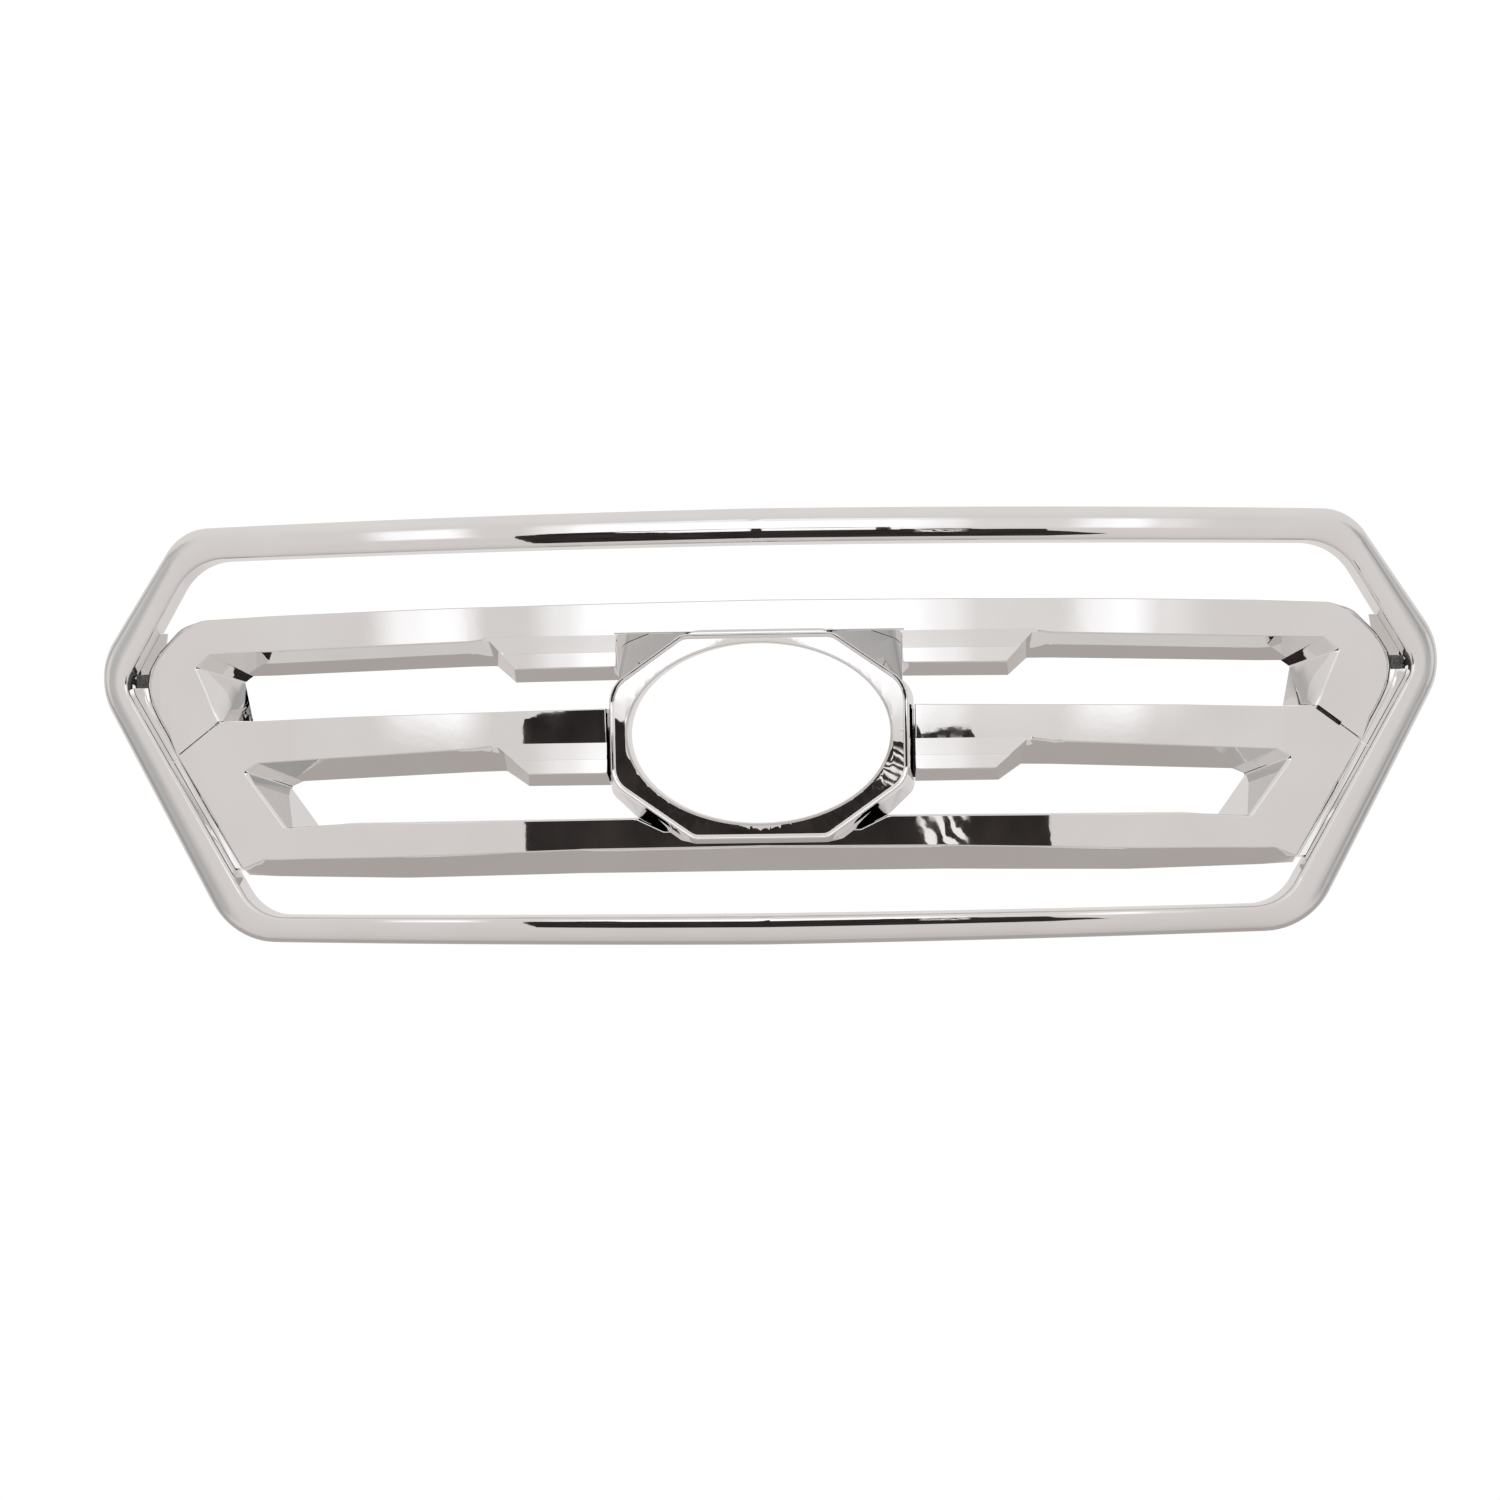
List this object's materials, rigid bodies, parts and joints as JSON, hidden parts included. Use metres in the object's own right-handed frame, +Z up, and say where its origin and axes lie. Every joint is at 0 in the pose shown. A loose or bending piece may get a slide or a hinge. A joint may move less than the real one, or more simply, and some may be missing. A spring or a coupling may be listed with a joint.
{
  "type": "vehicle front grille",
  "caption": "Bowed hexagonal chromed grille: a round-nosed surround carries a barred insert with oval emblem opening.",
  "frame": {"origin": "centre of the whole grille's box", "axes": "+X to the viewer's right, -Y out of the front towards the viewer, +Z up; X = 0 is the plane of symmetry"},
  "size_m": [1.097, 0.1624, 0.344],
  "materials": {
    "chrome_plating": "bright chrome plating on moulded ABS",
    "black_plastic": "black moulded plastic",
    "grey_plastic": "grey moulded plastic",
    "zinc": "zinc-plated steel",
    "spring_steel": "dark phosphated spring steel"
  },
  "bodies": {
    "root": {"surround": "chrome_plating", "insert_upper": "chrome_plating", "insert_lower": "chrome_plating", "emblem_bezel": "chrome_plating", "emblem_housing": "chrome_plating", "joint_bracket_left": "black_plastic", "side_catch_left": "grey_plastic", "lower_clip_left_1": "spring_steel", "bezel_screw_left_1": "zinc", "housing_screw_left_1": "zinc", "upper_insert_screw_left_1": "zinc", "lower_insert_screw_left_1": "zinc", "lower_clip_left_2": "spring_steel", "bezel_screw_left_2": "zinc", "housing_screw_left_2": "zinc", "upper_insert_screw_left_2": "zinc", "lower_insert_screw_left_2": "zinc", "bracket_screw_left_upper": "zinc", "bracket_screw_left_lower": "zinc", "top_bar_screw_left": "zinc", "joint_bracket_right": "black_plastic", "side_catch_right": "grey_plastic", "lower_clip_right_1": "spring_steel", "bezel_screw_right_1": "zinc", "housing_screw_right_1": "zinc", "upper_insert_screw_right_1": "zinc", "lower_insert_screw_right_1": "zinc", "lower_clip_right_2": "spring_steel", "bezel_screw_right_2": "zinc", "housing_screw_right_2": "zinc", "upper_insert_screw_right_2": "zinc", "lower_insert_screw_right_2": "zinc", "bracket_screw_right_upper": "zinc", "bracket_screw_right_lower": "zinc", "top_bar_screw_right": "zinc"}
  },
  "joints": []
}
